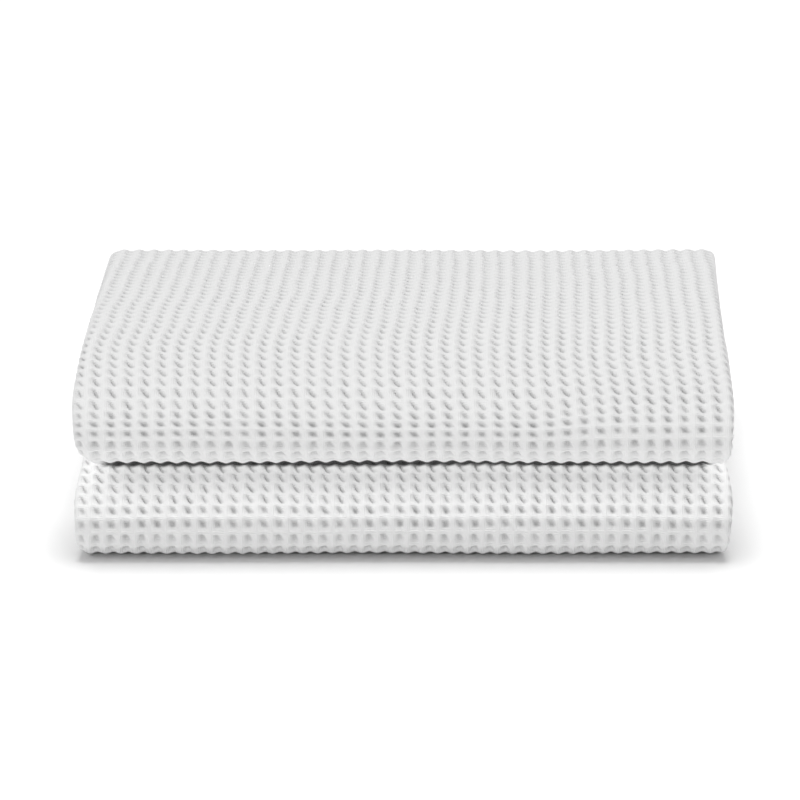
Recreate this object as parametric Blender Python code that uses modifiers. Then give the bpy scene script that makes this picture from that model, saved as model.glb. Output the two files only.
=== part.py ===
"""A folded bath towel of waffle weave, modelled as the one cloth that it is.

The flat cloth is a grid. It is folded in thirds across its width, like a letter, which makes a strip three plies
thick. The strip's two ends are folded to the middle twice, and the strip is then closed like a book. That leaves eight
strip layers: an upper and a lower roll with their round noses at the front, and one spine at the back.
Metres, +Z up, the noses towards -Y. The origin is the middle of the towel's footprint, on the surface it lies on.
"""

import math

import bpy
from mathutils import Vector
from mathutils.geometry import interpolate_bezier

MM = 0.001

# The cloth
CLOTH_THICKNESS = 2.3 * MM
TOWEL_WIDTH = 762 * MM
PLIES = 3
PLY_PITCH = 2.7 * MM
COLOUR = (0.86, 0.86, 0.85, 1.0)
ROUGHNESS = 0.9

# The letter fold across the width
EDGE_SETBACK_INSIDE = 7.0 * MM
EDGE_SETBACK_OUTSIDE = 4.5 * MM
SIDE_FOLD_STEPS = 6

# The folds along the length
NOMINAL_HALF_WIDTH = TOWEL_WIDTH / PLIES / 2
SKEW = 0.025
LARGEST_TURN = math.radians(24)
LONGEST_STEP = 46 * MM
RUN_HANDLE = 0.36
BEND_HANDLE = 4 / 3
SMALLEST_CROSS_STEP = 110 * MM

# Each row is a station of the strip's middle surface, in the order of the cloth from one end hem to the other.
# y and z are in mm from the upper nose and the floor. heading is the way the strip runs, in degrees from +Y towards
# +Z. bend is the reach in mm of the half-round fold that starts here, or 0. narrow and sway are what the folded
# strip loses on each side and how far it lies to +X, in mm.
STATIONS = (
    # name, y, z, heading, bend, narrow, sway
    ("upper_hem", 170.0, 61.2, 183.0, 0.0, 2.2, 0.8),
    ("upper_inner_top", 96.0, 62.9, 180.0, 0.0, 2.0, 0.6),
    ("upper_inner_front_top", 38.0, 58.6, 188.0, 5.6, 2.4, 0.2),
    ("upper_inner_front_low", 38.0, 48.9, 2.0, 0.0, 2.4, -0.4),
    ("upper_inner_low", 100.0, 50.2, 0.0, 0.0, 2.0, -0.8),
    ("upper_back_top", 170.0, 49.9, 0.0, 5.8, 1.6, -0.5),
    ("upper_back_low", 170.0, 39.4, 180.0, 0.0, 1.6, -0.2),
    ("upper_underside", 70.0, 39.8, 181.0, 0.0, 2.4, 0.2),
    ("upper_sag", 38.0, 37.3, 182.0, 0.0, 3.0, 1.0),
    ("upper_lip", 24.5, 36.9, 178.0, 0.0, 3.7, 1.7),
    ("upper_underlip", 14.0, 39.7, 153.0, 0.0, 3.2, 1.9),
    ("upper_nose", 4.0, 48.2, 84.0, 0.0, 0.2, 1.0),
    ("upper_slope", 15.6, 58.7, 36.0, 0.0, -0.9, 0.3),
    ("upper_shoulder", 33.0, 66.9, 22.0, 0.0, 0.2, 0.1),
    ("upper_rise", 56.0, 72.6, 8.0, 0.0, 1.6, 0.0),
    ("crown", 88.0, 73.7, 0.0, 0.0, 2.1, 0.0),
    ("upper_fall", 130.0, 72.2, -3.0, 0.0, 2.1, 0.0),
    ("spine_top", 165.0, 70.2, -4.0, 24.0, 1.9, 0.0),
    ("spine_low", 165.0, 3.85, 180.0, 0.0, 1.8, 0.0),
    ("underside", 90.0, 3.85, 180.0, 0.0, 1.4, 0.0),
    ("lower_lip", 15.0, 3.85, 180.0, 0.0, 2.6, 0.0),
    ("lower_nose", 2.0, 11.0, 86.0, 0.0, 0.2, 0.8),
    ("lower_slope", 12.5, 20.4, 31.0, 0.0, -1.0, 0.6),
    ("lower_shoulder", 30.0, 27.6, 18.0, 0.0, 1.2, 0.3),
    ("lower_top", 66.0, 31.0, 2.0, 0.0, 2.0, 0.2),
    ("lower_back_top", 170.0, 31.0, 0.0, 5.2, 1.8, -0.3),
    ("lower_back_low", 170.0, 21.9, 180.0, 0.0, 1.8, -0.9),
    ("lower_inner_top", 110.0, 22.0, 180.0, 0.0, 2.4, -0.8),
    ("lower_inner_front_top", 48.0, 21.7, 181.0, 4.9, 2.6, -0.2),
    ("lower_inner_front_low", 48.0, 12.8, 0.0, 0.0, 2.6, 0.4),
    ("lower_inner_low", 110.0, 12.9, 0.0, 0.0, 2.2, 0.9),
    ("lower_hem", 169.0, 12.9, 0.0, 0.0, 2.4, 1.2),
)


def clear_scene():
    """Removes every object that the file starts with."""
    for existing in list(bpy.data.objects):
        bpy.data.objects.remove(existing, do_unlink=True)


def direction(heading):
    """The unit vector in the YZ plane at a heading in degrees."""
    turned = math.radians(heading)
    return Vector((0.0, math.cos(turned), math.sin(turned)))


def turn_between(first, second):
    """How far the heading swings from one station to the next, in radians."""
    swing = (second - first + 180) % 360 - 180
    return abs(math.radians(swing))


def strip_route():
    """The stations joined by cubic curves: a list of (middle point, half width, sway)."""
    route = []
    for here, there in zip(STATIONS, STATIONS[1:]):
        _, y, z, heading, bend, narrow, sway = here
        _, next_y, next_z, next_heading, _, next_narrow, next_sway = there
        start = Vector((0.0, y, z)) * MM
        end = Vector((0.0, next_y, next_z)) * MM
        chord = (end - start).length
        handle = BEND_HANDLE * bend * MM if bend else RUN_HANDLE * chord
        turn = math.pi if bend else turn_between(heading, next_heading)
        length = math.pi * chord / 2 if bend else chord
        steps = max(math.ceil(turn / LARGEST_TURN), math.ceil(length / LONGEST_STEP), 1)
        leaving = start + direction(heading) * handle
        arriving = end - direction(next_heading) * handle
        points = interpolate_bezier(start, leaving, arriving, end, steps + 1)
        last = there is STATIONS[-1]
        for i, point in enumerate(points if last else points[:-1]):
            share = i / steps
            half_width = NOMINAL_HALF_WIDTH - (narrow + (next_narrow - narrow) * share) * MM
            route.append((point, half_width, (sway + (next_sway - sway) * share) * MM))
    return route


def route_normals(route):
    """The outward direction of the strip at each point of the route, square to its run."""
    points = [point for point, _, _ in route]
    normals = []
    for i, point in enumerate(points):
        before = points[max(i - 1, 0)]
        after = points[min(i + 1, len(points) - 1)]
        into = (point - before).normalized() if i else (after - point).normalized()
        out = (after - point).normalized() if i < len(points) - 1 else into
        along = (into + out).normalized()
        # The mitre keeps a nested ply at its full distance where the route turns.
        mitre = 1 / max(math.cos(into.angle(out) / 2), 0.5) if into.length and out.length else 1.0
        normals.append(Vector((0.0, -along.z, along.y)) * mitre)
    return normals


def spaced(start, end):
    """Points from start to end, end left out, no further apart than the cross step."""
    count = max(math.ceil(abs(end - start) / SMALLEST_CROSS_STEP), 1)
    return [start + (end - start) * i / count for i in range(count)]


def half_turn(x, level_from, level_to, side):
    """A half round of the cloth's middle line at a side fold, from one ply's level to another's."""
    radius = abs(level_to - level_from) / 2
    middle = (level_from + level_to) / 2
    lift = math.copysign(radius, level_from - level_to)
    turned = []
    for i in range(SIDE_FOLD_STEPS + 1):
        angle = math.pi * i / SIDE_FOLD_STEPS
        turned.append((x + side * (radius * math.sin(angle) - radius), middle + lift * math.cos(angle)))
    return turned


def letter_section(half_width):
    """The cloth's middle line across the strip: a list of (x, level), from the hidden edge to the outer edge.

    The middle ply comes first, turns at +X into the outside ply, which turns at -X round all three plies into the
    inside ply.
    """
    right = half_width - CLOTH_THICKNESS / 2
    left = -right
    turn_right = right - PLY_PITCH / 2
    turn_left = left + PLY_PITCH
    section = [(x, 0.0) for x in spaced(left + EDGE_SETBACK_INSIDE, turn_right)]
    section += half_turn(right, 0.0, PLY_PITCH, 1)
    section += [(x, PLY_PITCH) for x in spaced(turn_right, turn_left)[1:]]
    section += half_turn(left, PLY_PITCH, -PLY_PITCH, -1)
    section += [(x, -PLY_PITCH) for x in spaced(turn_left, right - EDGE_SETBACK_OUTSIDE)[1:]]
    section += [(right - EDGE_SETBACK_OUTSIDE, -PLY_PITCH)]
    return section


def folded_points():
    """Every point of the cloth's middle surface, and the number of rows along and columns across."""
    route = strip_route()
    normals = route_normals(route)
    points = []
    for (middle, half_width, sway), normal in zip(route, normals):
        for x, level in letter_section(half_width):
            point = middle + normal * level
            point.x = x + sway + SKEW * (middle.y + normal.y * level)
            points.append(point)
    columns = len(points) // len(route)
    return points, len(route), columns


def centred(points):
    """The points moved so that the origin is under the middle of their footprint, at the cloth's lowest face."""
    low = Vector([min(point[axis] for point in points) for axis in range(3)])
    high = Vector([max(point[axis] for point in points) for axis in range(3)])
    shift = Vector(((low.x + high.x) / 2, (low.y + high.y) / 2, low.z - CLOTH_THICKNESS / 2))
    return [point - shift for point in points]


def cloth_material():
    """White cotton with no shine."""
    material = bpy.data.materials.new("white_cotton")
    material.use_nodes = True
    shader = material.node_tree.nodes["Principled BSDF"]
    shader.inputs["Base Color"].default_value = COLOUR
    shader.inputs["Roughness"].default_value = ROUGHNESS
    shader.inputs["Metallic"].default_value = 0.0
    return material


def build_towel(collection):
    """The flat grid of the cloth, carried to its folded place and given its thickness with Solidify."""
    points, rows, columns = folded_points()
    bpy.ops.mesh.primitive_grid_add(x_subdivisions=columns - 1, y_subdivisions=rows - 1, size=1.0)
    towel = bpy.context.object
    towel.name = "bath_towel"
    towel.data.name = "bath_towel"
    # The grid's points run along its x first, which is across the cloth.
    for vertex, place in zip(towel.data.vertices, centred(points)):
        vertex.co = place
    for owner in list(towel.users_collection):
        owner.objects.unlink(towel)
    collection.objects.link(towel)
    thickness = towel.modifiers.new("cloth_thickness", "SOLIDIFY")
    thickness.thickness = CLOTH_THICKNESS
    thickness.offset = 0.0
    thickness.use_even_offset = True
    towel.data.materials.append(cloth_material())
    towel.data.shade_smooth()
    towel.data.set_sharp_from_angle(angle=LARGEST_TURN * 2)
    return towel


def main():
    clear_scene()
    collection = bpy.data.collections.new("folded_bath_towel")
    bpy.context.scene.collection.children.link(collection)
    build_towel(collection)


main()
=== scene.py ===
"""A folded bath towel of white waffle-weave cotton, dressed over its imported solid.

The cloth is one surface in two running numbers: u counts waffle cells across the towel and v counts them along it.
A letter fold carries u round the three plies of a strip, and a fold route carries v through the eight strip layers.
The surface is cut into nine meshes along its rows, so that each stays light, and they meet on shared rows.
Metres, +Z up, the round front folds towards -Y.
"""

import logging
import math
from dataclasses import dataclass, field
from enum import Enum
from typing import NamedTuple

import bpy
import numpy as np
from mathutils import Matrix, Vector


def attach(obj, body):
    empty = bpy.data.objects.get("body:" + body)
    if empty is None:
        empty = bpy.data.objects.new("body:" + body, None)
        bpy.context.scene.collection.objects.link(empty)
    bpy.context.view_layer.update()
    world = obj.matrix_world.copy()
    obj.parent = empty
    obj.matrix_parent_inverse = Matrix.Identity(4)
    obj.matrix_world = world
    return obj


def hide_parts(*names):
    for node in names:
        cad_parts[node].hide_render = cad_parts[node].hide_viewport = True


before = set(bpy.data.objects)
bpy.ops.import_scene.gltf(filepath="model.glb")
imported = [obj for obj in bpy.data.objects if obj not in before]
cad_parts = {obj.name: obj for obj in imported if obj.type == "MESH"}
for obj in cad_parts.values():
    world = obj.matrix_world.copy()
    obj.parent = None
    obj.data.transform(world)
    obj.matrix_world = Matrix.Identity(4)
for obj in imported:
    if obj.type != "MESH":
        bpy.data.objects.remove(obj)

MM = 0.001
PICTURE_WIDTH = 800
SENSOR_WIDTH = 36.0
NOMINAL_CELL_MM = 6
HEM_RETURN = 14 * MM
Array = np.ndarray
Thing = bpy.types.Object
Colour = tuple[float, float, float, float]

log = logging.getLogger("bath_towel")


class Anchor(Enum):
    """What the columns of a block are counted from."""

    HEM = "the free edge of the inside ply"
    LATTICE = "the waffle lattice"
    HIDDEN_EDGE = "the free edge of the middle ply"


class FoldEnd(Enum):
    """Which way a hem turns past the end of the route."""

    FIRST = -1.0
    LAST = 1.0


@dataclass(frozen=True)
class Station:
    """A station of the strip's middle surface.

    y and z are in mm from the upper nose and the floor. heading is the way the strip runs, in degrees from +Y towards
    +Z. bend is the reach in mm of a half-round fold that starts here, or 0. narrow and sway are what the folded strip
    loses on each side and how far it lies to +X, in mm.
    """

    name: str
    y: float
    z: float
    heading: float
    bend: float
    narrow: float
    sway: float


STATIONS: tuple[Station, ...] = (
    Station("upper_hem", 170.0, 61.2, 183.0, 0.0, 2.2, 0.8),
    Station("upper_inner_top", 96.0, 62.9, 180.0, 0.0, 2.0, 0.6),
    Station("upper_inner_front_top", 38.0, 58.6, 188.0, 5.6, 2.4, 0.2),
    Station("upper_inner_front_low", 38.0, 48.9, 2.0, 0.0, 2.4, -0.4),
    Station("upper_inner_low", 100.0, 50.2, 0.0, 0.0, 2.0, -0.8),
    Station("upper_back_top", 170.0, 49.9, 0.0, 5.8, 1.6, -0.5),
    Station("upper_back_low", 170.0, 39.4, 180.0, 0.0, 1.6, -0.2),
    Station("upper_underside", 70.0, 39.8, 181.0, 0.0, 2.4, 0.2),
    Station("upper_sag", 38.0, 37.3, 182.0, 0.0, 3.0, 1.0),
    Station("upper_lip", 24.5, 36.9, 178.0, 0.0, 3.7, 1.7),
    Station("upper_underlip", 14.0, 39.7, 153.0, 0.0, 3.2, 1.9),
    Station("upper_nose", 4.0, 48.2, 84.0, 0.0, 0.2, 1.0),
    Station("upper_slope", 15.6, 58.7, 36.0, 0.0, -0.9, 0.3),
    Station("upper_shoulder", 33.0, 66.9, 22.0, 0.0, 0.2, 0.1),
    Station("upper_rise", 56.0, 72.6, 8.0, 0.0, 1.6, 0.0),
    Station("crown", 88.0, 73.7, 0.0, 0.0, 2.1, 0.0),
    Station("upper_fall", 130.0, 72.2, -3.0, 0.0, 2.1, 0.0),
    Station("spine_top", 165.0, 70.2, -4.0, 24.0, 1.9, 0.0),
    Station("spine_low", 165.0, 3.85, 180.0, 0.0, 1.8, 0.0),
    Station("underside", 90.0, 3.85, 180.0, 0.0, 1.4, 0.0),
    Station("lower_lip", 15.0, 3.85, 180.0, 0.0, 2.6, 0.0),
    Station("lower_nose", 2.0, 11.0, 86.0, 0.0, 0.2, 0.8),
    Station("lower_slope", 12.5, 20.4, 31.0, 0.0, -1.0, 0.6),
    Station("lower_shoulder", 30.0, 27.6, 18.0, 0.0, 1.2, 0.3),
    Station("lower_top", 66.0, 31.0, 2.0, 0.0, 2.0, 0.2),
    Station("lower_back_top", 170.0, 31.0, 0.0, 5.2, 1.8, -0.3),
    Station("lower_back_low", 170.0, 21.9, 180.0, 0.0, 1.8, -0.9),
    Station("lower_inner_top", 110.0, 22.0, 180.0, 0.0, 2.4, -0.8),
    Station("lower_inner_front_top", 48.0, 21.7, 181.0, 4.9, 2.6, -0.2),
    Station("lower_inner_front_low", 48.0, 12.8, 0.0, 0.0, 2.6, 0.4),
    Station("lower_inner_low", 110.0, 12.9, 0.0, 0.0, 2.2, 0.9),
    Station("lower_hem", 169.0, 12.9, 0.0, 0.0, 2.4, 1.2),
)


def smoothstep(low: float, high: float, value: Array) -> Array:
    """Rises from 0 at low to 1 at high as 3t squared less 2t cubed.

    Args:
        low: Where the rise starts.
        high: Where it ends.
        value: The numbers to ease.

    Returns:
        The eased numbers, from 0 to 1.
    """
    t = np.clip((value - low) / (high - low), 0.0, 1.0)
    return t * t * (3.0 - 2.0 * t)


WAVES = ((1.00, 0.37, 1.7), (-0.58, 0.93, 2.9), (0.31, -1.41, 4.3))


def ripple(first: Array, second: Array, seed: float) -> Array:
    """A smooth uneven field: three sine waves that cross at odd angles and never repeat together.

    Args:
        first: One running number.
        second: The other.
        seed: Moves the waves, so that two fields differ.

    Returns:
        Values from about -1 to 1.
    """
    return sum(np.sin(a * first + b * second + c * seed) for a, b, c in WAVES) / len(WAVES)


class StripPlace(NamedTuple):
    """The strip's y, z, heading, lost width, sway and how much it bends, from 0 to 1, at some places along it."""

    y: Array
    z: Array
    heading: Array
    narrow: Array
    sway: Array
    bending: Array


@dataclass
class FoldRoute:
    """The strip's middle line in the YZ plane, through its stations.

    Each leg is a cubic curve from one station to the next, which leaves and arrives along their headings. Its handle
    is a share of the leg's chord, or 4/3 of the bend's reach on a half-round fold. Rows are counted along the outer
    face. Windows are the running means' counts of samples, and bends are in radians a metre.
    """

    stations: tuple[Station, ...]
    face_offset: float
    run_handle: float = 0.36
    bend_handle: float = 4 / 3
    samples: int = 200
    heading_window: int = 9
    edge_window: int = 81
    bend_window: int = 91
    slight_bend: float = 18.0
    full_bend: float = 52.0
    path: StripPlace = field(init=False)
    arc: Array = field(init=False)
    station_arc: dict[str, float] = field(init=False)

    def __post_init__(self) -> None:
        """Samples every leg and measures the outer face."""
        place = np.array([(s.y, s.z) for s in self.stations]) * MM
        turn = np.radians([s.heading for s in self.stations])
        aim = np.stack([np.cos(turn), np.sin(turn)], axis=1)
        chord = np.linalg.norm(place[1:] - place[:-1], axis=1)
        bend = np.array([s.bend for s in self.stations[:-1]]) * MM
        handle = np.where(bend > 0.0, self.bend_handle * bend, self.run_handle * chord)[:, None]
        corners = np.stack([place[:-1], place[:-1] + aim[:-1] * handle, place[1:] - aim[1:] * handle, place[1:]])
        t = np.linspace(0.0, 1.0, self.samples, endpoint=False)[:, None, None]
        share = np.array([(1 - t) ** 3, 3 * t * (1 - t) ** 2, 3 * t * t * (1 - t), t**3])
        line = (share * corners[:, None]).sum(axis=0)
        slope = 3 * ((1 - t) ** 2 * (corners[1] - corners[0]))
        slope = slope + 6 * t * (1 - t) * (corners[2] - corners[1]) + 3 * t * t * (corners[3] - corners[2])
        line = line.transpose(1, 0, 2).reshape(-1, 2)
        slope = slope.transpose(1, 0, 2).reshape(-1, 2)
        y = line[:, 0]
        z = line[:, 1]
        heading = self.softened(np.unwrap(np.arctan2(slope[:, 1], slope[:, 0])), self.heading_window)
        legs = np.arange(len(y)) / self.samples
        stops = np.arange(len(self.stations))
        narrow = np.interp(legs, stops, [s.narrow for s in self.stations]) * MM
        sway = np.interp(legs, stops, [s.sway for s in self.stations]) * MM
        narrow = self.softened(narrow, self.edge_window)
        sway = self.softened(sway, self.edge_window)
        face_y = y - np.sin(heading) * self.face_offset
        face_z = z + np.cos(heading) * self.face_offset
        run = np.concatenate([[0.0], np.cumsum(np.hypot(np.diff(face_y), np.diff(face_z)))])
        names = [s.name for s in self.stations]
        middle = names.index("spine_top") * self.samples + self.samples // 2
        self.arc = run - run[middle]
        turn_rate = np.abs(np.gradient(heading, self.arc + np.arange(len(run)) * 1e-9))
        bent = smoothstep(self.slight_bend, self.full_bend, self.softened(turn_rate, self.bend_window))
        self.path = StripPlace(y, z, heading, narrow, sway, self.softened(bent, self.bend_window))
        last = len(self.arc) - 1
        self.station_arc = {n: float(self.arc[min(i * self.samples, last)]) for i, n in enumerate(names)}

    @staticmethod
    def softened(values: Array, window: int) -> Array:
        """A running mean over an odd number of samples, with the ends held.

        Args:
            values: The samples along the route.
            window: How many samples each mean takes in.

        Returns:
            The softened samples, as many as came in.
        """
        padded = np.pad(values, window // 2, mode="edge")
        return np.convolve(padded, np.ones(window) / window, mode="valid")

    def at(self, arc: Array) -> StripPlace:
        """Where the strip is at a distance along its outer face.

        Args:
            arc: Distances from the middle of the spine, in metres.

        Returns:
            The strip's place there.
        """
        return StripPlace(*(np.interp(arc, self.arc, values) for values in self.path))


@dataclass(frozen=True)
class LetterFold:
    """The section across the strip: three plies, folded like a letter.

    The outside ply turns at +X into the middle ply and at -X, round all three, into the inside ply, whose hem ends
    near +X. Distances run along the cloth's outer face from the middle of the outside ply.
    """

    half_width: float
    thickness: float
    ply_pitch: float
    hem_setback: float
    hidden_setback: float
    hem_return: float

    def reach(self, narrow: Array) -> tuple[Array, Array]:
        """How far the face runs each way, to the end of the hem's return and to the hidden edge.

        Args:
            narrow: What the strip loses on each side, in metres.

        Returns:
            The lowest and the highest distance along the face.
        """
        right = self.half_width - narrow - self.thickness / 2
        low_run = 2 * right - self.ply_pitch - self.hem_setback
        low = right - self.ply_pitch + math.pi * (self.ply_pitch + self.thickness / 2) + low_run
        low = low + math.pi * self.thickness / 2 + self.hem_return
        high = right - self.ply_pitch / 2 + math.pi * (self.ply_pitch + self.thickness) / 2
        high = high + 2 * right - self.ply_pitch / 2 - self.hidden_setback
        return -low, high

    def at(self, along: Array, narrow: Array) -> tuple[Array, ...]:
        """The ply's middle line and the outer face's direction at a distance along the face.

        A turn of the face through an angle a moves the middle line by its own radius times sin a and cos a, and past
        the half turn the line runs straight back.

        Args:
            along: Distances along the face from the middle of the outside ply.
            narrow: What the strip loses on each side.

        Returns:
            x, level, and the x and level parts of the face's unit direction.
        """
        half = self.thickness / 2
        right = self.half_width - narrow - half
        small = self.ply_pitch / 2
        past = np.clip(along - (right - small), 0.0, None)
        angle = np.clip(past / (small + half), 0.0, math.pi)
        run = np.clip(past - math.pi * (small + half), 0.0, None)
        x_right = right - small + small * np.sin(angle) - run
        level_right = small + small * np.cos(angle)
        large = self.ply_pitch
        past_left = np.clip(-along - (right - large), 0.0, None)
        angle_left = np.clip(past_left / (large + half), 0.0, math.pi)
        run_left = np.clip(past_left - math.pi * (large + half), 0.0, None)
        run_end = 2 * right - large - self.hem_setback
        past_hem = np.clip(run_left - run_end, 0.0, None)
        angle_hem = np.clip(past_hem / half, 0.0, math.pi)
        run_back = np.clip(past_hem - math.pi * half, 0.0, None)
        x_left = -(right - large) - large * np.sin(angle_left) + np.minimum(run_left, run_end) - run_back
        level_left = large * np.cos(angle_left)
        on_right = along > right - small
        on_left = along < -(right - large)
        x = np.where(on_right, x_right, np.where(on_left, x_left, along))
        level = np.where(on_right, level_right, np.where(on_left, level_left, large))
        turned = np.where(on_right, angle, np.where(on_left, -angle_left, 0.0))
        turned = np.where(angle_hem > 0.0, math.pi - angle_hem, turned)
        return x, level, np.sin(turned), np.cos(turned)


CHANCE_ACROSS = 12.9898
CHANCE_ALONG = 78.233
CHANCE_SEED = 37.719
CHANCE_SCALE = 43758.5453


def cell_number(u: Array, v: Array, seed: float) -> Array:
    """A steady chance number for each cell: the far decimals of a large multiple of a sine of its row and column.

    Args:
        u: Cells across.
        v: Cells along.
        seed: Gives another set of numbers.

    Returns:
        Numbers from -1 to 1, the same all over a cell.
    """
    turn = np.floor(u) * CHANCE_ACROSS + np.floor(v) * CHANCE_ALONG + seed * CHANCE_SEED
    wave = np.sin(turn) * CHANCE_SCALE
    return 2.0 * (wave - np.floor(wave)) - 1.0


@dataclass(frozen=True)
class WaffleWeave:
    """The relief of the waffle: a pit in each cell, between broad soft ridges.

    p and q run from -1 to 1 across and along a cell. The pit lies along the slanted line e = p + slant q = 0. Its
    depth is (1 - (e / width) squared) to the side power, times (1 - (r / length) squared), each held above 0. r is
    q less the pit's own middle, and the far side has its own power and length. A wide shallow bowl lies round it.
    Where the cloth bends the pits open, and elsewhere they close to slits. The ridges swell to one side of each
    crossing.
    """

    pit_depth: float = 1.75 * MM
    slit_width: float = 0.2
    open_width: float = 0.56
    slit_slant: float = 0.58
    open_slant: float = 0.3
    open_taper: float = 0.25
    steep_side: float = 0.8
    slit_middle: float = 0.14
    slit_far_length: float = 0.7
    slit_near_length: float = 0.86
    open_middle: float = 0.36
    open_far_length: float = 0.36
    open_near_length: float = 0.85
    bowl_share: float = 0.32
    bowl_shift: float = 0.3
    uneven_depth: float = 0.16
    uneven_slant: float = 0.14
    side_power: float = 1.2
    slit_far_power: float = 2.0
    open_far_power: float = 4.0
    row_power: int = 4
    column_power: int = 8
    swell_rise: float = 0.42 * MM
    swell_side: float = 0.16
    column_rise: float = 0.42 * MM

    def pit(self, u: Array, v: Array, opened: Array) -> Array:
        """How deep in its pit a place lies.

        Args:
            u: Cells across.
            v: Cells along.
            opened: From 0 where the cloth lies flat to 1 where it bends.

        Returns:
            From 0 on the ridges to about 1.
        """
        p = 2.0 * (u - np.floor(u)) - 1.0
        q = 2.0 * (v - np.floor(v)) - 1.0

        def opening(closed: float, wide: float) -> Array:
            """Goes from a slit's value to an open pit's."""
            return closed + (wide - closed) * opened

        slant = opening(self.slit_slant, self.open_slant)
        slanted = p + (slant + self.uneven_slant * cell_number(u, v, 1.0)) * q
        width = opening(self.slit_width, self.open_width) * (1.0 - self.open_taper * opened * q)
        width = np.where(slanted > 0.0, width * self.steep_side, width)
        across = np.clip(1.0 - (slanted / width) ** 2, 0.0, 1.0) ** self.side_power
        bowl = np.clip(1.0 - (slanted + self.bowl_shift) ** 2, 0.0, 1.0) ** 2 * (1.0 - q**self.row_power) ** 2
        run = q - opening(self.slit_middle, self.open_middle)
        far_length = opening(self.slit_far_length, self.open_far_length)
        near_length = opening(self.slit_near_length, self.open_near_length)
        far_side = 1.0 - np.abs(run / far_length) ** opening(self.slit_far_power, self.open_far_power)
        along = np.clip(np.where(run > 0.0, far_side, 1.0 - (run / near_length) ** 2), 0.0, 1.0)
        depth = (1.0 - self.bowl_share) * across * along + self.bowl_share * bowl
        ridge = (1.0 - p**self.column_power) ** 2
        return depth * ridge * (1.0 + self.uneven_depth * cell_number(u, v, 2.0))

    def height(self, u: Array, v: Array, opened: Array) -> Array:
        """How far the face stands above the cloth's even thickness.

        Args:
            u: Cells across.
            v: Cells along.
            opened: From 0 where the cloth lies flat to 1 where it bends.

        Returns:
            Heights in metres.
        """
        column = 0.5 + 0.5 * np.cos(2 * math.pi * u)
        row = 0.5 + 0.5 * np.cos(2 * math.pi * v)
        swell = row * (0.5 + 0.5 * np.cos(2 * math.pi * (u - self.swell_side)))
        return self.column_rise * column + self.swell_rise * swell - self.pit_depth * self.pit(u, v, opened)


@dataclass(frozen=True)
class LatticeRow:
    """How the waffle lies across the cloth at one place along it, in mm.

    arc is measured from the middle of the spine, column_pitch is a cell's width and side_shift is how far the lattice
    lies to +X.
    """

    arc: float
    column_pitch: float
    side_shift: float


LATTICE_ROWS: tuple[LatticeRow, ...] = (
    LatticeRow(-248.0, 6.42, -5.2),
    LatticeRow(-211.0, 6.48, -4.9),
    LatticeRow(-178.0, 6.45, -6.0),
    LatticeRow(-150.0, 6.36, -4.4),
    LatticeRow(-110.0, 6.24, -3.2),
    LatticeRow(-50.0, 6.13, -2.9),
    LatticeRow(100.0, 5.92, -1.5),
    LatticeRow(200.0, 5.86, 1.5),
    LatticeRow(260.0, 5.87, 2.4),
)


@dataclass(frozen=True)
class WaffleLattice:
    """Where the cells lie on the cloth: cells to distances, across and along."""

    rows: tuple[LatticeRow, ...] = LATTICE_ROWS
    upper_row_pitch: float = 4.89 * MM
    lower_row_pitch: float = 5.22 * MM
    pitch_change: float = 4.0
    change_width: float = 12.0
    row_phase: float = 0.65
    row_limit: float = 220.0
    row_samples: int = 8801

    def arc(self, v: Array) -> Array:
        """The distance along the cloth of row v: a straight line with a soft bend, half of x plus root(x x + w w)."""
        past = v - self.pitch_change
        bend = 0.5 * (past + np.sqrt(past * past + self.change_width**2))
        start = 0.5 * (-self.pitch_change + math.hypot(self.pitch_change, self.change_width))
        gained = (self.lower_row_pitch - self.upper_row_pitch) * (bend - start)
        return (v - self.row_phase) * self.upper_row_pitch + gained

    def row(self, arc: float) -> float:
        """The row at a distance along the cloth, the other way round."""
        v = np.linspace(-self.row_limit, self.row_limit, self.row_samples)
        return float(np.interp(arc, self.arc(v), v))

    def column_pitch(self, arc: Array) -> Array:
        """The width of a cell, eased between the table's rows."""
        return self.eased(arc, np.array([row.column_pitch for row in self.rows]) * MM)

    def side_shift(self, arc: Array) -> Array:
        """How far the lattice lies to +X, eased between the table's rows."""
        return self.eased(arc, np.array([row.side_shift for row in self.rows]) * MM)

    def eased(self, arc: Array, values: Array) -> Array:
        """Goes from one of the table's values to the next as 3t squared less 2t cubed.

        Args:
            arc: Distances along the cloth.
            values: One value for each row of the table.

        Returns:
            The value at each distance, held past the table's ends.
        """
        stops = np.array([row.arc for row in self.rows]) * MM
        place = np.interp(arc, stops, np.arange(len(stops)))
        low = np.clip(np.floor(place).astype(int), 0, len(stops) - 2)
        t = place - low
        return values[low] + (values[low + 1] - values[low]) * t * t * (3 - 2 * t)


@dataclass(frozen=True)
class Wave:
    """A ripple over the cells: its size, its rates across and along, and its seed."""

    size: float
    across: float
    along: float
    seed: float

    def at(self, u: Array, v: Array) -> Array:
        """Its height at some cells across and along."""
        return self.size * ripple(self.across * u, self.along * v, self.seed)


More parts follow.
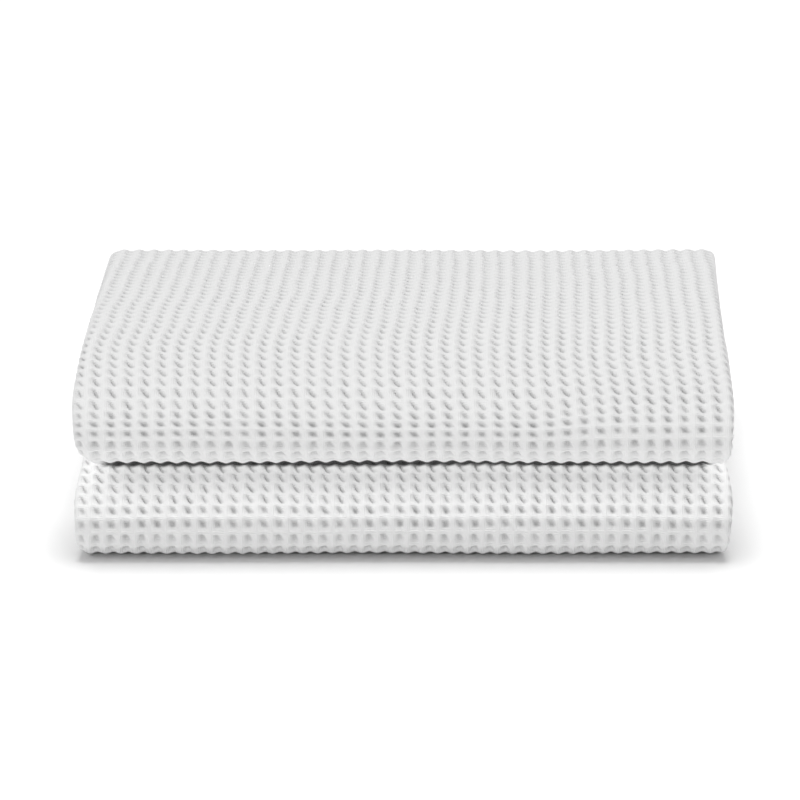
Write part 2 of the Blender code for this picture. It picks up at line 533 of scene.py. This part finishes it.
@dataclass(frozen=True)
class Drape:
    """The slight unevenness of a cloth that was folded by hand."""

    cell_wander: float = 0.05
    slow_across: Wave = Wave(2.2, 0.16, 0.13, 1.0)
    fast_across: Wave = Wave(0.8, 0.7, 0.6, 2.0)
    slow_along: Wave = Wave(2.6, 0.14, 0.11, 3.0)
    fast_along: Wave = Wave(0.9, 0.8, 0.5, 4.0)
    lift: Wave = Wave(0.35 * MM, 0.33, 0.21, 5.0)
    sag: float = 3.2 * MM
    sag_middle: float = -211 * MM
    sag_width: float = 11 * MM
    sag_fades: float = 48 * MM
    sag_ends: float = 82 * MM
    stretch: float = 3.6 * MM
    stretch_starts: float = 206 * MM
    stretch_whole: float = 262 * MM
    stretch_fades: float = 310 * MM
    stretch_ends: float = 370 * MM

    def wander(self, u: Array, v: Array) -> tuple[Array, Array]:
        """How far the lattice strays, in cells across and along.

        Args:
            u: Cells across.
            v: Cells along.

        Returns:
            The stray across and along, as slow ripples with a faster small one on top.
        """
        across = self.slow_across.at(u, v) + self.fast_across.at(u, v)
        along = self.slow_along.at(u, v) + self.fast_along.at(u, v)
        return self.cell_wander * across, self.cell_wander * along

    def settled(self, arc: Array, along: Array) -> Array:
        """Where the rows came to lie along the strip.

        The rows sag over the upper roll's front, except at its right end, as a bell curve along the strip. Those of
        the lower roll's front are stretched, and the layers behind take that up again.

        Args:
            arc: The rows' own distances along the cloth.
            along: Distances along the face, across the cloth.

        Returns:
            Distances along the cloth, in metres.
        """
        bell = np.exp(-(((arc - self.sag_middle) / self.sag_width) ** 2))
        sagged = self.sag * bell * smoothstep(self.sag_ends, self.sag_fades, along)
        stretched = self.stretch * smoothstep(self.stretch_starts, self.stretch_whole, arc)
        return arc - sagged + stretched * smoothstep(self.stretch_ends, self.stretch_fades, arc)

    def rise(self, u: Array, v: Array) -> Array:
        """Soft swells of the whole cloth, in metres."""
        return self.lift.at(u, v)


@dataclass(frozen=True)
class ColumnBlock:
    """A run of columns counted from one anchor, with a weave gain.

    start, stop and step are in cells on the lattice, and in metres from the edge on the other anchors.
    """

    anchor: Anchor
    start: float
    stop: float
    step: float
    gain: float

    def offsets(self) -> Array:
        """The columns' distances from the anchor."""
        count = max(int(round((self.stop - self.start) / self.step)), 1)
        return np.linspace(self.start, self.stop, count + 1)


@dataclass
class FoldedTowel:
    """The whole cloth as one surface: (cells across, cells along) to a place in the folded towel."""

    thickness: float = 2.3 * MM
    ply_pitch: float = 2.7 * MM
    towel_width: float = 762 * MM
    plies: int = 3
    lean: float = 0.025
    # The crevice numbers place a band of painted shade on the cloth, deep between the two rolls' fronts.
    crevice_upper: float = 3.2 * MM
    crevice_lower: float = 5.2 * MM
    crevice_edge: float = 2.0 * MM
    crevice_reach: float = 12.0 * MM
    crevice_side: float = 119.0 * MM
    edge_flattening: float = 0.6
    edge_zone: float = 0.045
    underside_give: float = 0.05
    survey: tuple[int, int] = (1500, 400)
    survey_reach: float = 150 * MM
    weave: WaffleWeave = field(default_factory=WaffleWeave)
    lattice: WaffleLattice = field(default_factory=WaffleLattice)
    drape: Drape = field(default_factory=Drape)
    route: FoldRoute = field(init=False)
    letter: LetterFold = field(init=False)
    shift: Array = field(init=False)

    def __post_init__(self) -> None:
        """Lays the route and centres the towel over the origin, as the solid is."""
        self.route = FoldRoute(STATIONS, self.ply_pitch + self.thickness / 2)
        self.letter = LetterFold(
            half_width=self.towel_width / (2 * self.plies),
            thickness=self.thickness,
            ply_pitch=self.ply_pitch,
            hem_setback=4.5 * MM,
            hidden_setback=7.0 * MM,
            hem_return=HEM_RETURN,
        )
        self.shift = np.zeros(3)
        rows = np.linspace(self.first_row, self.last_row, self.survey[0])[:, None]
        across = np.linspace(-self.survey_reach, self.survey_reach, self.survey[1])[None, :]
        points = self.place(across + 0 * rows, rows + 0 * across, np.zeros((1, 1)))
        low = points.min(axis=(0, 1))
        high = points.max(axis=(0, 1))
        self.shift = np.array([(low[0] + high[0]) / 2, (low[1] + high[1]) / 2, low[2]])

    @property
    def first_row(self) -> float:
        """The row at the upper hem, in cells from the middle of the spine."""
        return self.lattice.row(float(self.route.arc[0]))

    @property
    def last_row(self) -> float:
        """The row at the lower hem."""
        return self.lattice.row(float(self.route.arc[-1]))

    def row_at(self, station: str) -> float:
        """The row at a station of the route."""
        return self.lattice.row(self.route.station_arc[station])

    def painted_crevice_shade(self, arc: Array, along: Array) -> Array:
        """How much painted shade a place gets in the crevice between the two rolls' fronts, by how deep in it the
        place lies.

        Args:
            arc: Distances along the cloth.
            along: Distances along the face, across the cloth.

        Returns:
            From 0 in the open, further in and near the side folds to 1 where the rolls' fronts lie on each other.
        """
        edge = self.crevice_edge
        upper = self.route.station_arc["upper_underlip"] + self.crevice_upper
        lower = self.route.station_arc["lower_shoulder"] - self.crevice_lower
        upper_band = smoothstep(upper, upper - edge, arc) - smoothstep(0.0, -edge, arc - upper + self.crevice_reach)
        lower_band = smoothstep(lower, lower + edge, arc) - smoothstep(0.0, edge, arc - lower - self.crevice_reach)
        inside = smoothstep(self.crevice_side, self.crevice_side - 2 * edge, np.abs(along))
        return (upper_band + lower_band) * inside

    def place(self, along: Array, v: Array, gain: Array) -> Array:
        """The face's points.

        A point is the strip's middle line at its row, plus the letter fold's level along the strip's own outward
        direction, plus the half thickness and the relief along the face's direction. Past either end of the route the
        face turns round the hem's edge and runs back.

        Args:
            along: Distances along the face, across the cloth.
            v: Rows, in cells.
            gain: How much of the relief shows.

        Returns:
            The points, with a last axis of x, y and z.
        """
        arc = self.lattice.arc(v)
        pitch = self.lattice.column_pitch(arc)
        u = (along - self.lattice.side_shift(arc)) / pitch
        stray_u, stray_v = self.drape.wander(u, v)
        s = self.drape.settled(self.lattice.arc(v + stray_v * gain), along)
        first = self.route.arc[0]
        last = self.route.arc[-1]
        half = self.thickness / 2
        past_last = np.clip(arc - last, 0.0, None)
        past_first = np.clip(first - arc, 0.0, None)
        past = past_last + past_first
        end_turn = np.clip(past / half, 0.0, math.pi)
        run_back = np.clip(past - math.pi * half, 0.0, None)
        s = np.where(past_last > 0.0, last - run_back, np.where(past_first > 0.0, first + run_back, s))
        y, z, heading, narrow, sway, bending = self.route.at(s)
        x, level, side, up = self.letter.at(along + stray_u * gain * pitch, narrow)
        from_edge = (self.letter.half_width - narrow - np.abs(x)) / self.letter.half_width
        end_fade = 1.0 - self.edge_flattening * smoothstep(self.edge_zone, 0.0, from_edge)
        relief = gain * (self.weave.height(u, v, bending) * end_fade)
        swell = self.drape.rise(u, v) * gain
        height = half + relief
        turn_cos = np.cos(end_turn)
        turn_sin = np.sin(end_turn) * np.where(past_last > 0.0, FoldEnd.LAST.value, FoldEnd.FIRST.value)
        out = level + height * up * turn_cos + swell * up
        px = x + height * side * turn_cos
        py = y - np.sin(heading) * out + np.cos(heading) * height * turn_sin
        pz = z + np.cos(heading) * out + np.sin(heading) * height * turn_sin
        px = px + sway + self.lean * py
        points = np.stack(np.broadcast_arrays(px, py, pz), axis=-1) - self.shift
        # The ridges underneath are pressed flat by the towel's weight.
        points[..., 2] = np.where(points[..., 2] < 0.0, self.underside_give * points[..., 2], points[..., 2])
        return points


@dataclass(frozen=True)
class ClothMesh:
    """One mesh of the cloth: all its plies, from one row to another."""

    name: str
    first_row: float
    last_row: float
    rows_per_cell: float
    blocks: tuple[ColumnBlock, ...]
    join_columns: int = 6
    fine_steps: int = 20
    normal_step: float = 0.02
    hem_rows: tuple[float, ...] = ()
    fold_weight: float = 0.0

    def rows(self, towel: FoldedTowel) -> Array:
        """The rows of points, evenly spaced by the distance along the cloth plus a share of its turning.

        Args:
            towel: The cloth.

        Returns:
            Rows, in cells, closer together round the tight folds if the weight in metres a radian is above 0.
        """
        count = max(int(round((self.last_row - self.first_row) * self.rows_per_cell)), 1)
        fine = np.linspace(self.first_row, self.last_row, self.fine_steps * count)
        arc = towel.lattice.arc(fine)
        heading = towel.route.at(arc).heading
        turned = np.concatenate([[0.0], np.cumsum(np.abs(np.diff(heading)))])
        travelled = arc + self.fold_weight * turned if self.fold_weight else fine
        return np.interp(np.linspace(travelled[0], travelled[-1], count + 1), travelled, fine)

    def columns(self, towel: FoldedTowel, v: Array) -> tuple[Array, Array]:
        """The columns' distances along the face on each row, and their weave gain.

        Each block keeps its own anchor, and a few evenly spaced columns with no relief join it to the next.

        Args:
            towel: The cloth.
            v: The rows, in cells.

        Returns:
            Distances, one row of the array for each v, and the gain of each column.
        """
        arc = towel.lattice.arc(v)
        pitch = towel.lattice.column_pitch(arc)[:, None]
        shift = towel.lattice.side_shift(arc)[:, None]
        narrow = towel.route.at(arc).narrow
        low, high = towel.letter.reach(narrow)
        spans: list[Array] = []
        gains: list[Array] = []
        last_anchor: Anchor | None = None
        for block in self.blocks:
            offsets = block.offsets()[None, :]
            if block.anchor is Anchor.LATTICE:
                span = offsets * pitch + shift
            elif block.anchor is Anchor.HEM:
                span = low[:, None] + offsets
            else:
                span = high[:, None] - offsets[:, ::-1]
            if block.anchor is Anchor.LATTICE and last_anchor is Anchor.LATTICE:
                span = span[:, 1:]
            elif spans:
                share = np.linspace(0.0, 1.0, self.join_columns + 2)[None, 1:-1]
                before = spans[-1][:, -1:]
                spans.append(before + (span[:, :1] - before) * share)
                gains.append(np.zeros(self.join_columns))
            spans.append(span)
            gains.append(np.full(span.shape[1], block.gain))
            last_anchor = block.anchor
        gain = np.concatenate(gains)
        window = np.array([0.25, 0.5, 0.25])
        soft = np.minimum(gain, np.convolve(np.pad(gain, 1, mode="edge"), window, mode="valid"))
        return np.concatenate(spans, axis=1), soft

    def build(self, towel: FoldedTowel) -> Thing:
        """Works the grid out and makes its mesh, with the surface's own normals.

        The normals come from central differences of the same surface, so they agree across two meshes that meet.

        Args:
            towel: The cloth.

        Returns:
            The new object, at the origin.
        """
        v = self.rows(towel)
        if self.hem_rows:
            hem = np.array(self.hem_rows) * MM / towel.lattice.upper_row_pitch
            v = np.concatenate([v[0] - hem[::-1], v]) if self.first_row == towel.first_row else v
            v = np.concatenate([v, v[-1] + hem]) if self.last_row == towel.last_row else v
        along, gain = self.columns(towel, v)
        rows = v[:, None] + 0 * along
        gain = gain[None, :] + 0 * along
        points = towel.place(along, rows, gain)
        step = self.normal_step
        shift_u = step * NOMINAL_CELL_MM * MM
        du = towel.place(along + shift_u, rows, gain) - towel.place(along - shift_u, rows, gain)
        dv = towel.place(along, rows + step, gain) - towel.place(along, rows - step, gain)
        normals = np.cross(du, dv)
        normals /= np.maximum(np.linalg.norm(normals, axis=-1, keepdims=True), 1e-12)
        arc = towel.lattice.arc(rows)
        across = (along - towel.lattice.side_shift(arc)) / towel.lattice.column_pitch(arc)
        uv = np.stack([across, rows], axis=-1)
        settled = towel.drape.settled(arc, along)
        # The pit values darken the cloth in its pits: painted shade.
        pit = towel.weave.pit(across, rows, towel.route.at(settled).bending) * gain
        # The deep values say where the crevice between the rolls gets its painted shade.
        return grid_object(self.name, points, normals, uv, {"pit": pit, "deep": towel.painted_crevice_shade(settled, along)})


def grid_object(
    name: str, points: Array, normals: Array, uv: Array, shades: dict[str, Array]
) -> Thing:
    """Makes a quad mesh from a grid of points.

    Args:
        name: The object's name.
        points: Rows by columns by 3.
        normals: The surface's unit normals, the same shape.
        uv: Rows by columns by 2.
        shades: Rows by columns each, kept on the mesh under their names for its material.

    Returns:
        The new object, linked into the scene.
    """
    rows, columns = points.shape[:2]
    index = np.arange(rows * columns).reshape(rows, columns)
    quads = np.stack([index[:-1, :-1], index[:-1, 1:], index[1:, 1:], index[1:, :-1]], axis=-1).reshape(-1, 4)
    mesh = bpy.data.meshes.new(name)
    mesh.vertices.add(rows * columns)
    mesh.vertices.foreach_set("co", points.astype(np.float32).ravel())
    mesh.loops.add(quads.size)
    mesh.loops.foreach_set("vertex_index", quads.astype(np.int32).ravel())
    mesh.polygons.add(len(quads))
    mesh.polygons.foreach_set("loop_start", np.arange(0, quads.size, 4, dtype=np.int32))
    layer = mesh.uv_layers.new(name="weave")
    layer.data.foreach_set("uv", uv.reshape(-1, 2)[quads.ravel()].astype(np.float32).ravel())
    mesh.update(calc_edges=True)
    mesh.validate()
    for shade_name, values in shades.items():
        layer = mesh.attributes.new(shade_name, "FLOAT", "POINT")
        layer.data.foreach_set("value", values.astype(np.float32).ravel())
    mesh.shade_smooth()
    mesh.normals_split_custom_set_from_vertices(normals.reshape(-1, 3).astype(np.float32))
    towel_part = bpy.data.objects.new(name, mesh)
    bpy.context.scene.collection.objects.link(towel_part)
    return towel_part


def fill(node: bpy.types.Node, inputs: dict[str | int, object]) -> None:
    """Sets or links a node's inputs.

    Args:
        node: The node.
        inputs: A number, a colour or another node's output for each input's name or place.
    """
    for name, value in inputs.items():
        if isinstance(value, bpy.types.NodeSocket):
            node.id_data.links.new(value, node.inputs[name])
        else:
            node.inputs[name].default_value = value


@dataclass(frozen=True)
class CottonFinish:
    """White cotton yarn: matt, with a faint sheen of loose fibre, the threads showing on the ridges, and painted
    shade in the pits and in the crevice between the rolls.
    """

    colour: Colour = (0.92, 0.92, 0.92, 1.0)
    # Grey painted shade, mixed in by how deep a place lies in its pit.
    pit_painted_shade_colour: Colour = (0.64, 0.64, 0.64, 1.0)
    # Near-black painted shade for the crevice between the two rolls' fronts.
    crevice_painted_shade_colour: Colour = (0.03, 0.03, 0.03, 1.0)
    roughness: float = 0.95
    sheen: float = 0.12
    specular: float = 0.25
    pit_shade_power: float = 1.05
    threads_per_cell: float = 9.0
    thread_ratio: float = 0.78
    thread_change: float = 3.0
    thread_bump: float = 0.6
    thread_height: float = 0.12 * MM
    fuzz_bump: float = 0.5
    fuzz_height: float = 0.2 * MM
    fuzz_scale: float = 1600.0
    fuzz_detail: float = 3.0

    def material(self) -> bpy.types.Material:
        """Builds the node material.

        The threads are ripples of the cloth's own UV: along the column ridges they run along the towel, and along the
        row ridges across it, so the larger of the two distances from a cell's middle picks which is seen.

        Returns:
            The material.
        """
        cotton = bpy.data.materials.new("white_cotton_waffle")
        cotton.use_nodes = True

        def add(kind: str, inputs: dict[str | int, object], **settings: object) -> bpy.types.Node:
            """Adds one shader node with its settings and inputs."""
            node = cotton.node_tree.nodes.new("ShaderNode" + kind)
            for name, value in settings.items():
                setattr(node, name, value)
            fill(node, inputs)
            return node

        def maths(operation: str, *values: object) -> bpy.types.NodeSocket:
            """Adds one Math node and returns its output."""
            return add("Math", dict(enumerate(values)), operation=operation).outputs["Value"]

        def from_middle(number: object) -> bpy.types.NodeSocket:
            """0 in a cell's middle and 1 on its ridge."""
            part = maths("FRACT", number)
            return maths("MULTIPLY", maths("ABSOLUTE", maths("SUBTRACT", part, 0.5)), 2.0)

        uv = add("UVMap", {}, uv_map="weave").outputs["UV"]
        split = add("SeparateXYZ", {"Vector": uv})
        across = from_middle(split.outputs["X"])
        along = from_middle(split.outputs["Y"])
        turn = 2.0 * math.pi * self.threads_per_cell
        thread_u = maths("SINE", maths("MULTIPLY", split.outputs["X"], turn))
        thread_v = maths("SINE", maths("MULTIPLY", split.outputs["Y"], turn * self.thread_ratio))
        pick = maths("MULTIPLY_ADD", maths("SUBTRACT", across, along), self.thread_change, 0.5)
        threads = add("Mix", {"Factor": pick, "A": thread_v, "B": thread_u}, data_type="FLOAT").outputs["Result"]
        bump = {"Strength": self.thread_bump, "Distance": self.thread_height, "Height": threads}
        thread_normal = add("Bump", bump).outputs["Normal"]
        place = add("TexCoord", {}).outputs["Object"]
        fuzz = add("TexNoise", {"Scale": self.fuzz_scale, "Detail": self.fuzz_detail, "Vector": place}).outputs["Fac"]
        bump = {"Strength": self.fuzz_bump, "Distance": self.fuzz_height, "Height": fuzz, "Normal": thread_normal}
        normal = add("Bump", bump).outputs["Normal"]
        # The pit attribute mixes grey painted shade into the pits.
        pit = add("Attribute", {}, attribute_name="pit").outputs["Fac"]
        # The deep attribute places the near-black painted shade in the crevice between the rolls.
        deep = add("Attribute", {}, attribute_name="deep").outputs["Fac"]
        pit_shade_mix = {"Factor": maths("POWER", pit, self.pit_shade_power), "A": self.colour, "B": self.pit_painted_shade_colour}
        pit_shaded = add("Mix", pit_shade_mix, data_type="RGBA").outputs["Result"]
        shade = add("Mix", {"Factor": deep, "A": pit_shaded, "B": self.crevice_painted_shade_colour}, data_type="RGBA").outputs["Result"]
        surface = {
            "Base Color": shade,
            "Roughness": self.roughness,
            "Sheen Weight": self.sheen,
            "Specular IOR Level": self.specular,
            "Normal": normal,
        }
        fill(cotton.node_tree.nodes["Principled BSDF"], surface)
        return cotton


@dataclass(frozen=True)
class SoftLight:
    """A square area light: its place, the length of its side and its power in watts."""

    name: str
    place: tuple[float, float, float]
    size: float
    power: float


@dataclass
class Studio:
    """The floor, the soft lights and the camera."""

    distance: float = 2.0159
    elevation: float = 18.755
    azimuth: float = 0.13
    roll: float = -0.02
    focal_pixels: float = 5000.0
    target: tuple[float, float, float] = (-0.0021, 0.0, 0.0334)
    clip_start: float = 0.05
    floor_size: float = 12.0
    floor_colour: Colour = (0.97, 0.97, 0.97, 1.0)
    floor_roughness: float = 0.9
    floor_specular: float = 0.1
    surroundings: float = 0.48
    front: SoftLight = SoftLight("front", (-1.1, -1.9, 0.6), 0.5, 6.5)
    above: SoftLight = SoftLight("above", (0.1, 0.05, 2.0), 1.2, 19.0)
    backdrop: SoftLight = SoftLight("backdrop", (0.0, 0.3, 2.4), 1.3, 38.0)
    wash: SoftLight = SoftLight("wash", (0.0, 0.3, 2.4), 1.0, 8.0)
    low_fill: SoftLight = SoftLight("low_fill", (0.0, 0.5, 1.7), 0.8, 22.0)

    def floor(self) -> Thing:
        """A wide plain white floor."""
        half = self.floor_size / 2
        corners = [(-half, -half, 0.0), (half, -half, 0.0), (half, half, 0.0), (-half, half, 0.0)]
        mesh = bpy.data.meshes.new("floor")
        mesh.from_pydata(corners, [], [(0, 1, 2, 3)])
        surface = bpy.data.objects.new("floor", mesh)
        bpy.context.scene.collection.objects.link(surface)
        paint = bpy.data.materials.new("floor_white")
        paint.use_nodes = True
        white = {
            "Base Color": self.floor_colour,
            "Roughness": self.floor_roughness,
            "Specular IOR Level": self.floor_specular,
        }
        fill(paint.node_tree.nodes["Principled BSDF"], white)
        mesh.materials.append(paint)
        return surface

    def light(self, plan: SoftLight) -> Thing:
        """Sets up a light that looks at the towel.

        Args:
            plan: The light's place, size and power.

        Returns:
            The light.
        """
        lamp = bpy.data.lights.new(plan.name, "AREA")
        lamp.size = plan.size
        lamp.energy = plan.power
        holder = bpy.data.objects.new(plan.name, lamp)
        holder.location = plan.place
        aim = Vector(self.target) - Vector(plan.place)
        holder.rotation_euler = aim.to_track_quat("-Z", "Y").to_euler()
        bpy.context.scene.collection.objects.link(holder)
        return holder

    def lights(self, surface: Thing, cloth: list[Thing]) -> None:
        """White surroundings, soft lights on the towel from the front and above, and two that whiten the floor.

        The lower roll has its own light from above, which the upper roll doesn't shade. The wash on the floor isn't
        thrown back at the towel.

        Args:
            surface: The floor.
            cloth: The towel's meshes.
        """
        world = bpy.data.worlds.new("white_studio")
        world.use_nodes = True
        fill(world.node_tree.nodes["Background"], {"Color": (1.0, 1.0, 1.0, 1.0), "Strength": self.surroundings})
        bpy.context.scene.world = world
        front = self.light(self.front)
        above = self.light(self.above)
        backdrop = self.light(self.backdrop)
        wash = self.light(self.wash)
        wash.data.cycles.max_bounces = 0
        self.lights_only(wash, [surface])
        low_fill = self.light(self.low_fill)
        lower_roll = [piece for piece in cloth if piece.name.startswith("lower")]
        self.lights_only(front, cloth)
        self.lights_only(above, [piece for piece in cloth if piece not in lower_roll])
        self.lights_only(backdrop, [surface])
        self.lights_only(low_fill, lower_roll)
        low_fill.light_linking.blocker_collection = low_fill.light_linking.receiver_collection

    @staticmethod
    def lights_only(lamp: Thing, lit: list[Thing]) -> None:
        """Keeps a light to some objects.

        Args:
            lamp: The light.
            lit: The objects that it lights.
        """
        group = bpy.data.collections.new("lit_by_" + lamp.name)
        for piece in lit:
            group.objects.link(piece)
        lamp.light_linking.receiver_collection = group

    def camera(self) -> Thing:
        """A long lens at the photograph's angle."""
        lens = bpy.data.cameras.new("camera")
        lens.sensor_width = SENSOR_WIDTH
        lens.lens = self.focal_pixels / PICTURE_WIDTH * SENSOR_WIDTH
        lens.clip_start = self.clip_start
        viewer = bpy.data.objects.new("camera", lens)
        up = math.radians(self.elevation)
        round_z = math.radians(self.azimuth)
        back = Vector((math.sin(round_z) * math.cos(up), -math.cos(round_z) * math.cos(up), math.sin(up)))
        facing = (-back).to_track_quat("-Z", "Y").to_matrix()
        tilt = Matrix.Rotation(math.radians(self.roll), 3, "Z")
        place = Matrix.Translation(Vector(self.target) + back * self.distance)
        viewer.matrix_world = place @ (facing @ tilt).to_4x4()
        bpy.context.scene.collection.objects.link(viewer)
        bpy.context.scene.camera = viewer
        return viewer

    def build(self, cloth: list[Thing]) -> None:
        """Sets the stage round the towel's meshes."""
        self.lights(self.floor(), cloth)
        self.camera()
        bpy.context.scene.view_settings.view_transform = "Standard"


@dataclass
class TowelMeshes:
    """The towel's meshes, from the upper hem to the lower one."""

    towel: FoldedTowel
    finish: CottonFinish
    lattice_low: float = -27.0
    lattice_high: float = 25.0
    fold_zone: float = 17.5
    side_fold: float = 23.0
    fold_weight: float = 6.0 * MM
    hem_rows: tuple[float, ...] = (0.9, 1.8, 2.7, 3.6, 9.0)

    def outer_blocks(self, columns_per_cell: float) -> tuple[ColumnBlock, ...]:
        """The columns where the whole outside ply shows."""
        return (
            ColumnBlock(Anchor.HEM, 0.0, HEM_RETURN, 4.7 * MM, 0.2),
            ColumnBlock(Anchor.HEM, 14.5 * MM, 38 * MM, 0.9 * MM, 0.7),
            ColumnBlock(Anchor.LATTICE, self.lattice_low, -self.side_fold, 0.25, 1.0),
            ColumnBlock(Anchor.LATTICE, -self.side_fold, self.side_fold, 1 / columns_per_cell, 1.0),
            ColumnBlock(Anchor.LATTICE, self.side_fold, self.lattice_high, 0.25, 1.0),
            ColumnBlock(Anchor.HIDDEN_EDGE, 0.0, 10 * MM, 5 * MM, 0.0),
        )

    def inner_blocks(self, columns_per_cell: float) -> tuple[ColumnBlock, ...]:
        """The columns of the layers inside, which show only at their side folds."""
        return (
            ColumnBlock(Anchor.HEM, 0.0, HEM_RETURN, 4.7 * MM, 0.2),
            ColumnBlock(Anchor.HEM, 14.5 * MM, 36 * MM, 1.2 * MM, 0.7),
            ColumnBlock(Anchor.LATTICE, self.lattice_low, -self.fold_zone, 1 / columns_per_cell, 1.0),
            ColumnBlock(Anchor.LATTICE, self.fold_zone, self.lattice_high, 1 / columns_per_cell, 1.0),
            ColumnBlock(Anchor.HIDDEN_EDGE, 0.0, 10 * MM, 5 * MM, 0.0),
        )

    def meshes(self) -> list[ClothMesh]:
        """The cuts along the towel's rows."""
        towel = self.towel
        upper_lip = round(towel.row_at("upper_lip")) - 2.0
        upper_front = float(round(towel.row_at("upper_slope")))
        shoulder = float(round(towel.row_at("upper_rise")))
        spine = float(round(towel.row_at("spine_top")))
        lower_lip = round(towel.row_at("lower_lip")) - 1.0
        lower_front = float(round(towel.row_at("lower_slope")))
        lower_top = round(towel.row_at("lower_top")) + 2.0
        hem = self.hem_rows
        weight = self.fold_weight
        inner = self.inner_blocks(4)
        fine = self.outer_blocks(12)
        coarse = self.outer_blocks(8)
        return [
            ClothMesh("upper_inner_layers", towel.first_row, upper_lip, 4, inner, hem_rows=hem, fold_weight=weight),
            ClothMesh("upper_nose", upper_lip, upper_front, 10, fine),
            ClothMesh("upper_slope", upper_front, shoulder, 10, fine),
            ClothMesh("top", shoulder, spine, 6, self.outer_blocks(10)),
            ClothMesh("spine", spine, 0.0, 5, coarse),
            ClothMesh("spine_and_underside", 0.0, lower_lip, 3, coarse),
            ClothMesh("lower_nose", lower_lip, lower_front, 10, fine),
            ClothMesh("lower_slope", lower_front, lower_top, 10, fine),
            ClothMesh("lower_inner_layers", lower_top, towel.last_row, 4, inner, hem_rows=hem, fold_weight=weight),
        ]

    def build(self) -> list[Thing]:
        """Builds and dresses every mesh.

        Returns:
            The objects, each riding on the towel's one body.
        """
        material = self.finish.material()
        built: list[Thing] = []
        for plan in self.meshes():
            part = plan.build(self.towel)
            part.data.materials.append(material)
            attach(part, "root")
            ends = self.towel.lattice.arc(np.array([plan.first_row, plan.last_row]))
            built.append(part)
        for part in built:
            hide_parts("bath_towel")
        return built


def main() -> None:
    """Builds the towel and its studio."""
    logging.basicConfig(level=logging.INFO, format="%(name)s: %(message)s")
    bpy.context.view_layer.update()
    cloth = TowelMeshes(FoldedTowel(), CottonFinish()).build()
    Studio().build(cloth)


if __name__ == "__main__":
    main()
